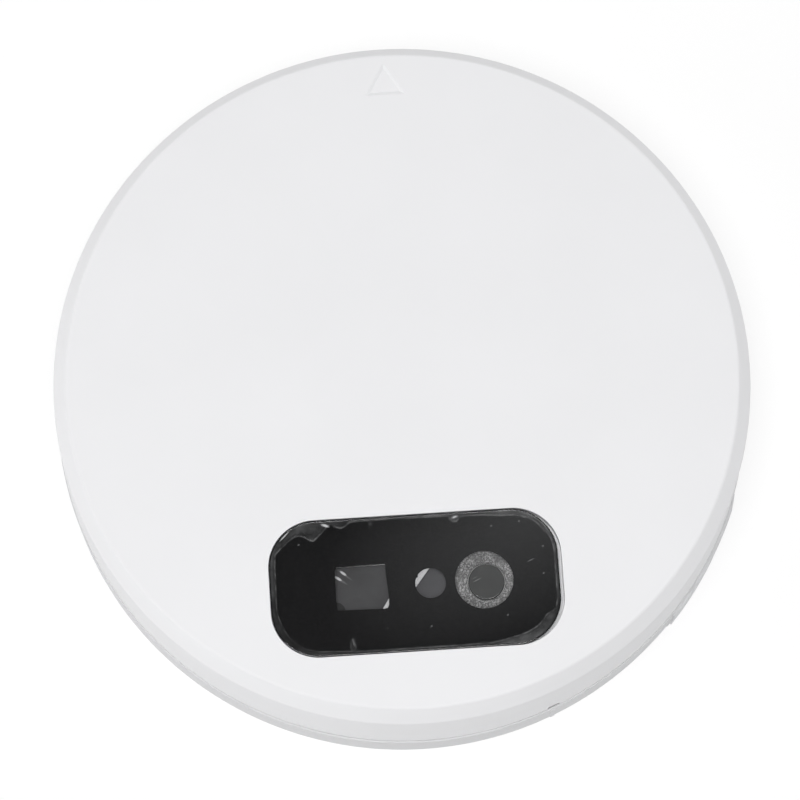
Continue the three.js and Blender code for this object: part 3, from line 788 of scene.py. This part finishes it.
# %% Panel, print, filters, ring and lens
def plate(name, outline_of, low, high, edge=0.15):
    """A flat part with its front edge rounded."""
    return stacked(
        name,
        [
            (outline_of(0), low),
            (outline_of(0), high - edge),
            (outline_of(-edge * 0.3), high - edge * 0.3),
            (outline_of(-edge), high),
        ],
        50,
    )


def dress(piece, material, body, node):
    finish(piece, material)
    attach(piece, body)
    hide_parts(node)
    print(piece.name, "faces", len(piece.data.polygons))
    return piece


panel_outline = grown_pill(PANEL_LENGTH, PANEL_WIDTH, PANEL_CORNER, PANEL_X, PANEL_Y, 24)
PANEL_LOW, PANEL_HIGH = panel_low.z / MM, panel_high.z / MM
panel = stacked(
    "sensor_panel",
    [
        (panel_outline(-0.36), PANEL_LOW),
        (panel_outline(0), PANEL_LOW + 0.01),
        (panel_outline(0), PANEL_HIGH - 0.07),
        (panel_outline(-0.02), PANEL_HIGH - 0.02),
        (panel_outline(-0.07), PANEL_HIGH),
        (panel_outline(-0.2), PANEL_HIGH + 0.001),
    ],
    50,
)
even_shading(panel, 50)
# The rim attribute is 1 on the cut edge, and 0 on the back and the front.
edge_low, edge_high = (PANEL_LOW + 0.005) * MM, (PANEL_HIGH + 0.0005) * MM
rim = [float(edge_low <= v.co.z <= edge_high) for v in panel.data.vertices]
panel.data.attributes.new("rim", "FLOAT", "POINT").data.foreach_set("value", rim)
dress(panel, panel_recipe.material, "head", "window_panel")

MASK_LOW, MASK_HIGH = mask_low.z / MM, mask_high.z / MM
printed = upright("window_print", panel_outline(-0.06), MASK_LOW, MASK_HIGH)
SQUARE_OPENING = [
    (-4.17, 3.68), (-4.4, 3.0), (-4.44, -2.0), (-4.3, -3.7), (-0.5, -3.78), (3.6, -3.86),
    (4.1, -3.75), (4.34, -3.2), (4.38, -2.1), (4.3, -0.4), (4.17, 1.5), (4.08, 3.78),
]
NIB = (54, 55, 56)  # points that step inwards: a small nib of print at the upper left
round_opening = [
    (x + 0.13, y - 0.1) if k in NIB else (x, y)
    for k, (x, y) in enumerate(circle(2.57, ROUND_X, PANEL_Y, 132))
]
openings = [
    [(SQUARE_X + x, PANEL_Y + y) for x, y in SQUARE_OPENING],
    round_opening,
    circle(4.9, RING_X, PANEL_Y, 128),
]
carve(printed, *[upright("opening", outline, 20, 30) for outline in openings])
dress(even_shading(printed), print_recipe.material, "head", "window_mask")

FILTER_LOW, FILTER_HIGH = filter_low.z / MM, filter_high.z / MM


def square_outline(grow):
    return pill(8.9 + 2 * grow, 7.9 + 2 * grow, 0.3, SQUARE_X, PANEL_Y)


def round_outline(grow):
    return cut_circle(2.95 + grow, ROUND_X, PANEL_Y, FLAT_SIDE, 2.45 + grow)


square_filter = even_shading(
    plate("square_filter", square_outline, FILTER_LOW, FILTER_HIGH, 0.06)
)
dress(square_filter, square_recipe.material, "head", "thermal_filter")
round_filter = even_shading(plate("round_filter", round_outline, FILTER_LOW, FILTER_HIGH, 0.06))
dress(round_filter, round_recipe.material, "head", "light_filter")

LENS_X, LENS_Y = (lens_low.x + lens_high.x) / 2 / MM, (lens_low.y + lens_high.y) / 2 / MM
ring_outline = grown_circle(5.2, RING_X, PANEL_Y, 128)
hole_outline = grown_circle(3.15, LENS_X, LENS_Y, 96)
lens_outline = grown_circle(3.05, LENS_X, LENS_Y, 96)
ring = plate("frosted_light_ring", ring_outline, FILTER_LOW, FILTER_HIGH, 0.08)
carve(ring, flared("hole", hole_outline, FILTER_HIGH, FILTER_LOW - 1, 0.2))
dress(even_shading(ring), frost.material, "head", "ring_diffuser")
lens = plate("ring_window_lens", lens_outline, FILTER_LOW, FILTER_HIGH - 0.12, 0.25)
dress(even_shading(lens), lens_recipe.material, "head", "ring_lens")

# %% [markdown]
# ### The protective film
# The film still lies on the window. Where it has come unstuck near its edge there is air under
# it, which shows as pale patches; the bright wavy border round them is a painted highlight. The
# film is drawn as rings that step in from its outline, each point lifted a little where there is
# air. One vertex attribute keeps how much air is under each point, another where the painted
# highlight of the border lies, and the material reads them.

# %% Where the film is stuck
FILM_LENGTH = (film_high.x - film_low.x) / MM
FILM_WIDTH = (film_high.y - film_low.y) / MM
FILM_CORNER = 7.7
# The stuck part's outline, in mm from the panel's middle, clockwise from the left.
STUCK = [
    (-23.3, -3.4), (-23.25, 1.0), (-23.2, 4.2), (-23.05, 6.1), (-22.2, 7.0), (-21.3, 7.7),
    (-20.4, 8.5), (-19.7, 8.95), (-19.0, 9.1), (-18.2, 8.95), (-17.5, 8.5), (-16.9, 8.15),
    (-16.5, 8.1), (-16.1, 8.4), (-15.4, 9.1), (-14.8, 9.6), (-14.1, 10.4), (-13.5, 10.75),
    (-12.8, 10.3), (-12.0, 10.0), (-11.4, 10.1), (-10.8, 10.5), (-10.2, 10.95), (-5.0, 11.05),
    (0.0, 11.0), (6.2, 10.9), (6.6, 10.4), (7.0, 9.9), (7.6, 9.9), (8.1, 10.5), (8.8, 10.8),
    (12.1, 10.75), (15.0, 10.45), (17.4, 10.4), (18.6, 10.1), (19.4, 9.8), (20.5, 9.3),
    (21.3, 8.6), (21.9, 7.8), (22.3, 7.2), (22.8, 6.8), (23.2, 6.1), (23.5, 5.0), (23.6, 4.0),
    (23.65, 0.0), (23.6, -4.0), (23.3, -5.8), (22.6, -6.3), (21.6, -6.8), (20.9, -7.7),
    (20.4, -8.3), (19.6, -8.9), (18.2, -9.6), (16.6, -10.1), (14.5, -10.6), (12.3, -11.0),
    (6.0, -11.1), (-5.0, -11.1), (-10.5, -11.05), (-16.8, -10.7), (-18.6, -10.2), (-20.0, -9.4),
    (-21.4, -8.1), (-22.3, -6.6), (-22.9, -5.0),
]
# Lone bubbles: x, y, half the width, half the height.
BUBBLES = [(-10.9, -10.0, 0.42, 1.0), (-6.8, 10.6, 0.25, 0.3)]


def stuck_distance(points):
    """How far each point is inside the stuck part, negative where there is air."""
    a = np.array(STUCK)
    b = np.roll(a, -1, axis=0)
    p = points[:, None, :]
    along = b - a
    t = np.clip(((p - a) * along).sum(2) / (along * along).sum(1), 0, 1)
    near = np.linalg.norm(p - (a + along * t[:, :, None]), axis=2).min(1)
    crosses = (a[:, 1] > p[:, :, 1]) != (b[:, 1] > p[:, :, 1])
    slope = np.where(along[:, 1] == 0, 1e-9, along[:, 1])
    left = p[:, :, 0] < along[:, 0] * (p[:, :, 1] - a[:, 1]) / slope + a[:, 0]
    inside = (crosses & left).sum(1) % 2 == 1
    depth = np.where(inside, near, -near)
    for x, y, rx, ry in BUBBLES:
        oval = (np.hypot((points[:, 0] - x) / rx, (points[:, 1] - y) / ry) - 1) * min(rx, ry)
        depth = np.minimum(depth, oval)
    return depth


# %% Draw the film
def even_pill(length, width, corner, count):
    """A pill outline with its points spaced evenly, starting in the middle of the +X side."""
    points = np.array(pill(length, width, max(corner, 0.05), 0, 0, 24))
    points = np.vstack([points, points[:1]])
    run = np.concatenate([[0], np.cumsum(np.linalg.norm(np.diff(points, axis=0), axis=1))])
    at = np.linspace(0, run[-1], count, endpoint=False)
    return np.stack([np.interp(at, run, points[:, 0]), np.interp(at, run, points[:, 1])], axis=1)


AROUND = 1000  # points in each ring of the film
# How far each ring lies in from the film's outline.
STEPS_IN = [0.0, 0.06] + [0.06 + 0.1 * k for k in range(1, 52)]
rings = [
    even_pill(FILM_LENGTH - 2 * e, FILM_WIDTH - 2 * e, FILM_CORNER - e, AROUND) for e in STEPS_IN
]
flat_points = np.vstack(rings)
depth = stuck_distance(flat_points)
air = np.clip(-depth / 0.5, 0, 1) ** 0.7
# A painted highlight along the border of the air.
border_highlight = np.exp(-((depth / 0.1) ** 2))
# The air's haze and the painted highlight on its border are made fainter towards the lower left.
fade_x, fade_y = (flat_points[:, 0] + 23) / 12, (flat_points[:, 1] + 9) / 9
lower_left_fade = 1 - 0.65 * np.exp(-(fade_x**2) - (fade_y**2))
edge_fall = np.clip(np.repeat(STEPS_IN, AROUND) / 0.25, 0, 1)
FILM_Z, FILM_UNDER = film_high.z / MM - 0.06, film_low.z / MM
height = FILM_Z + 0.05 * air * edge_fall
film_verts = [(x + PANEL_X, y + PANEL_Y, z) for (x, y), z in zip(flat_points, height)]
film_verts += [(x + PANEL_X, y + PANEL_Y, FILM_UNDER) for x, y in rings[0]]
film_faces = skin(len(rings), AROUND)
under = len(rings) * AROUND
film_faces.append([under - AROUND + k for k in range(AROUND)])
film_faces.append([under + k for k in reversed(range(AROUND))])
film_faces += [[under + k, under + (k + 1) % AROUND, (k + 1) % AROUND, k] for k in range(AROUND)]
film_mesh = bpy.data.meshes.new("cover_film")
film_mesh.from_pydata([(x * MM, y * MM, z * MM) for x, y, z in film_verts], [], film_faces)
film_mesh.shade_smooth()
film_mesh.set_sharp_from_angle(angle=math.radians(50))
for name, values in (("air", air * lower_left_fade), ("border_highlight", border_highlight * lower_left_fade)):
    kept = film_mesh.attributes.new(name, "FLOAT", "POINT")
    kept.data.foreach_set("value", np.concatenate([values, np.zeros(AROUND)]).astype(np.float32))
film = bpy.data.objects.new("cover_film", film_mesh)
bpy.context.scene.collection.objects.link(film)

# %% [markdown]
# The film's finish is almost all see-through. Its opacity is a faint haze that rises towards the
# upper right, a painted reflection of the room, more where there is air, a painted highlight along
# the border of the air, and a few specks of dust. Short marks, such as scratches and the painted
# highlights on blisters and on the film's edge, are stretched round spots: a spherical gradient
# turned and squeezed.


# %% Film finish, short marks and painted highlights
def soft_spot(recipe, x, y, angle, length, width, power=1.0):
    """A soft spot at a place in mm, stretched to a length and width, as a value from 0 to 1."""
    shape = recipe.node("ShaderNodeMapping", vector_type="TEXTURE")
    shape.inputs["Location"].default_value = (x * MM, y * MM, FACE_Z * MM)
    shape.inputs["Rotation"].default_value = (0, 0, math.radians(angle))
    shape.inputs["Scale"].default_value = (length * MM / 2, width * MM / 2, 20 * MM)
    recipe.link(recipe.place, shape.inputs["Vector"])
    ball = recipe.node("ShaderNodeTexGradient", gradient_type="SPHERICAL")
    recipe.link(shape.outputs["Vector"], ball.inputs["Vector"])
    return recipe.spread(ball.outputs["Fac"], 0.0, 1.0 / power, 0.0, 1.0)


def total(recipe, *values):
    """Adds values up, each given as a socket or as (socket, weight)."""
    result = None
    for value in values:
        out, weight = value if isinstance(value, tuple) else (value, 1.0)
        step = recipe.node("ShaderNodeMath", operation="MULTIPLY_ADD")  # out * weight + result
        recipe.link(out, step.inputs[0])
        step.inputs[1].default_value = weight
        step.inputs[2].default_value = 0.0
        if result is not None:
            recipe.link(result, step.inputs[2])
        result = step.outputs["Value"]
    return result


# Specks of dust, in mm from the panel's middle.
DUST = [
    (-19.0, 7.6), (13.4, 8.8), (18.1, 9.3), (21.6, 0.2),
    (21.8, 4.8), (15.1, -6.5), (2.3, -7.6), (-7.2, 11.0),
]
film_recipe = Recipe("clear_film", (0.86, 0.87, 0.88), 0.16)
air_value = film_recipe.node("ShaderNodeAttribute", attribute_name="air").outputs["Fac"]
border_highlight_value = film_recipe.node("ShaderNodeAttribute", attribute_name="border_highlight").outputs["Fac"]
cloudy = film_recipe.spread(film_recipe.noise(420.0, 3.0), 0.35, 0.7, 0.25, 1.35)
cloudy_air = film_recipe.node("ShaderNodeMath", operation="MULTIPLY")
film_recipe.link(air_value, cloudy_air.inputs[0]).link(cloudy, cloudy_air.inputs[1])
broken = film_recipe.spread(film_recipe.noise(700.0, 2.0), 0.38, 0.62, 0.2, 1.0)
broken_border_highlight = film_recipe.node("ShaderNodeMath", operation="MULTIPLY")
film_recipe.link(border_highlight_value, broken_border_highlight.inputs[0]).link(broken, broken_border_highlight.inputs[1])
dust = film_recipe.node("ShaderNodeTexVoronoi", Scale=330.0)
film_recipe.link(film_recipe.place, dust.inputs["Vector"])
speck = film_recipe.spread(dust.outputs["Distance"], 0.02, 0.055, 1.0, 0.0)
film_recipe.link(
    total(
        film_recipe,
        (cloudy_air.outputs["Value"], 0.066),
        # The painted highlight along the border of the air.
        (broken_border_highlight.outputs["Value"], 0.15),
        (speck, 0.06),
        # A faint haze rising towards the upper right: a painted reflection of the room.
        (soft_spot(film_recipe, PANEL_X + 22, PANEL_Y + 12, 25, 80, 40), 0.022),
        *[(soft_spot(film_recipe, PANEL_X + x, PANEL_Y + y, 30, 0.5, 0.36, 2), 0.055) for x, y in DUST],
        (soft_spot(film_recipe, PANEL_X + 19.6, PANEL_Y + 2.55, 24, 1.6, 0.2, 2), 0.07),
        # Painted highlights: a bright spot on the blister at the upper left, and a streak along the
        # film's edge at its upper left corner.
        (soft_spot(film_recipe, PANEL_X - 14.4, PANEL_Y + 10.6, -20, 1.7, 0.6), 0.6),
        (soft_spot(film_recipe, PANEL_X - 21.3, PANEL_Y + 9.2, 44, 2.8, 0.22, 1.5), 0.5),
        (soft_spot(film_recipe, PANEL_X - 10.8, PANEL_Y - 9.6, 107, 1.7, 0.42), 0.07),
        # A painted highlight: a bright spot on the blister at the top edge.
        (soft_spot(film_recipe, PANEL_X + 7.4, PANEL_Y + 10.7, 15, 1.4, 0.5), 0.4),
    ),
    film_recipe.shader.inputs["Alpha"],
)
film_recipe.material.surface_render_method = "BLENDED"
dress(film, film_recipe.material, "head", "protective_film")

# %% [markdown]
# Behind the square opening the filter has two creases whose flash is a painted highlight, a pale
# line down its left edge and a lower left corner darkened by painted shade. The lens has two fine
# scratches. The frosted ring is brighter in four short streaks of painted light.


# %% Painted highlights, shade and light, and scratches on the filters
def add_marks_and_painted_light(recipe, color, *marks):
    """Lays spots of one colour over whatever drives a recipe's base colour: scratches, painted
    highlights, painted shade and painted light.
    """
    base_color = recipe.shader.inputs["Base Color"].links[0].from_socket
    recipe.color(recipe.blend(total(recipe, *marks), base_color, color))


corner_shade = soft_spot(square_recipe, SQUARE_X - 4.35, PANEL_Y - 3.3, 45, 2.7, 3.1, 12)
add_marks_and_painted_light(square_recipe, (0.03, 0.03, 0.03), (corner_shade, 0.75))
# Painted highlights where the two creases flash, as bright cores that fade into longer streaks. The
# last spot is a faint pale line down the left edge.
add_marks_and_painted_light(
    square_recipe,
    (0.98, 0.98, 1.0),
    soft_spot(square_recipe, SQUARE_X - 3.0, PANEL_Y + 2.95, -39, 1.5, 0.5, 2.4),
    soft_spot(square_recipe, SQUARE_X - 3.9, PANEL_Y + 2.1, -34, 1.5, 0.5, 3.2),
    (soft_spot(square_recipe, SQUARE_X - 2.7, PANEL_Y + 2.6, -39, 3.6, 0.4, 1.5), 0.13),
    (soft_spot(square_recipe, SQUARE_X - 3.5, PANEL_Y + 1.8, -37, 3.2, 0.5, 1.5), 0.16),
    (soft_spot(square_recipe, SQUARE_X - 4.3, PANEL_Y + 2.6, 92, 3.4, 0.3, 2.0), 0.05),
)
add_marks_and_painted_light(
    lens_recipe,
    (0.4, 0.4, 0.4),
    (soft_spot(lens_recipe, RING_X - 1.1, PANEL_Y + 0.4, 23, 2.0, 0.2, 1.5), 0.6),
    (soft_spot(lens_recipe, RING_X - 1.5, PANEL_Y + 0.8, 25, 1.4, 0.18, 1.5), 0.3),
)
# x and y from the ring's middle, angle, length, width and weight of each streak of painted light.
PAINTED_LIGHT_STREAKS = [
    (-3.9, -0.3, 90, 5.0, 1.9, 0.22),
    (4.3, -0.2, 84, 6.0, 1.0, 0.3),
    (3.4, 2.7, -50, 3.4, 0.6, 0.2),
    (0.6, 2.8, 10, 2.6, 0.5, 0.3),
]
add_marks_and_painted_light(
    frost,
    (0.6, 0.6, 0.6),
    *[(soft_spot(frost, RING_X + x, PANEL_Y + y, *shape), weight) for x, y, *shape, weight in PAINTED_LIGHT_STREAKS],
)

# %% [markdown]
# ## The tamper spring
# A small steel coil keeps the tamper plunger pushed out towards the base. Its foot stands on the
# plunger's flange and its top bears on the circuit board. The wire is a round section carried along
# a helix, wound to fill the box of the frame's spring. It is not attached to either part.


# %% Wind the spring
def coil(name, low, high, wire, turns, steps=120, around=10):
    """A helix that fills a box, of round wire with a radius in mm, cut square at its ends."""
    middle = (low + high) / 2 / MM
    radius = (high.x - low.x) / 2 / MM - wire
    foot, rise = low.z / MM + wire, (high.z - low.z) / MM - 2 * wire
    verts = []
    for i in range(steps + 1):
        a = 2 * math.pi * turns * i / steps
        for out, up in circle(wire, steps=around):
            x, y = middle.x + (radius + out) * math.cos(a), middle.y + (radius + out) * math.sin(a)
            verts.append((x, y, foot + rise * i / steps + up))
    caps = [list(range(around)), [steps * around + k for k in range(around)]]
    return mesh_piece(name, verts, skin(steps + 1, around) + caps, 50)


spring_low, spring_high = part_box("tamper_spring")
spring = finish(coil("tamper_coil", spring_low, spring_high, 0.15, 2), steel)
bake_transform(spring)
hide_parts("tamper_spring")
print("spring length mm", round((spring_high.z - spring_low.z) / MM, 2))

# %% [markdown]
# ## Studio
# The unit lies on its back on a floor that glows white. One broad disk hangs almost straight
# above, and four dimmer ones stand low round it. The left is the strongest of the four, so the
# chamfer goes a little grey at the top and the wall at the right. The room adds a faint light.

# %% Floor, room and lights
floor_mesh = bpy.data.meshes.new("floor")
floor_mesh.from_pydata([(-4, -4, 0), (4, -4, 0), (4, 4, 0), (-4, 4, 0)], [], [(0, 1, 2, 3)])
floor = bpy.data.objects.new("floor", floor_mesh)
bpy.context.scene.collection.objects.link(floor)
floor_recipe = Recipe("studio_floor", (0.3, 0.3, 0.3), 0.9)
floor_recipe.shader.inputs["Specular IOR Level"].default_value = 0.0
floor_recipe.shader.inputs["Emission Color"].default_value = (1, 1, 1, 1)
floor_recipe.shader.inputs["Emission Strength"].default_value = 0.71
finish(floor, floor_recipe.material)

world = bpy.data.worlds.new("studio")
world.use_nodes = True
sky = world.node_tree
sky.nodes["Background"].inputs["Color"].default_value = (1.0, 1.0, 1.0, 1.0)
direction = sky.nodes.new("ShaderNodeTexCoord")
parts, height_glow = sky.nodes.new("ShaderNodeSeparateXYZ"), sky.nodes.new("ShaderNodeMapRange")
height_glow.inputs["To Min"].default_value = 0.16
height_glow.inputs["To Max"].default_value = 0.12
sky.links.new(direction.outputs["Generated"], parts.inputs[0])
sky.links.new(parts.outputs["Z"], height_glow.inputs["Value"])
sky.links.new(height_glow.outputs["Result"], sky.nodes["Background"].inputs["Strength"])
bpy.context.scene.world = world

FACE_CENTRE = Vector((0, 0, FACE_Z * MM))


LIGHT_DISTANCE = 1.6


def soft_light(name, direction, size, energy):
    lamp = bpy.data.lights.new(name, "AREA")
    lamp.shape, lamp.size, lamp.energy = "DISK", size, energy
    holder = bpy.data.objects.new(name, lamp)
    bpy.context.scene.collection.objects.link(holder)
    toward = Vector(direction).normalized()
    holder.location = FACE_CENTRE + toward * LIGHT_DISTANCE
    holder.rotation_euler = toward.to_track_quat("Z", "Y").to_euler()


# Direction from the case's right and height over the floor in degrees, watts, width in metres.
LIGHTS = (
    ("overhead", 255, 76, 19.3, 0.9),
    ("left", 195, 22, 5.6, 1.1),
    ("back", 105, 22, 2.7, 1.1),
    ("right", 38, 22, 4.0, 1.1),
    ("near_right", 330, 22, 0.9, 1.1),
)
for name, bearing, height_angle, energy, size in LIGHTS:
    across, up = polar(1.0, height_angle)
    soft_light(name, (*polar(across, bearing), up), size, energy)

# %% [markdown]
# ## Camera
# A long lens from above the window side, 14 degrees off the face's axis. The unit lies turned by
# about 4 degrees in the view, so the camera is rolled by that much rather than the unit.

# %% Camera
view_from = Vector((-0.0213, -0.2395, 0.9707)).normalized()
view_up = Vector((0.0654, 0.9979, 0.0))
view_up = (view_up - view_from * view_up.dot(view_from)).normalized()
view_right = view_up.cross(view_from)
DISTANCE, LENS, SENSOR = 0.6097, 162.0, 36.0
camera = bpy.data.objects.new("camera", bpy.data.cameras.new("camera"))
bpy.context.scene.collection.objects.link(camera)
camera.data.lens, camera.data.sensor_width = LENS, SENSOR
camera.data.clip_start, camera.data.clip_end = 0.01, 20.0
AIM_LEFT, AIM_DOWN = 0.00039, 0.0043  # where the lens points, from the middle of the face
aim = FACE_CENTRE - view_right * AIM_LEFT - view_up * AIM_DOWN
facing = Matrix((view_right, view_up, view_from)).transposed().to_4x4()
camera.matrix_world = Matrix.Translation(aim + view_from * DISTANCE) @ facing
bpy.context.scene.camera = camera
bpy.context.scene.view_settings.view_transform = "Standard"
bpy.context.scene.view_settings.look = "None"

# %% Update the view layer
bpy.context.view_layer.update()
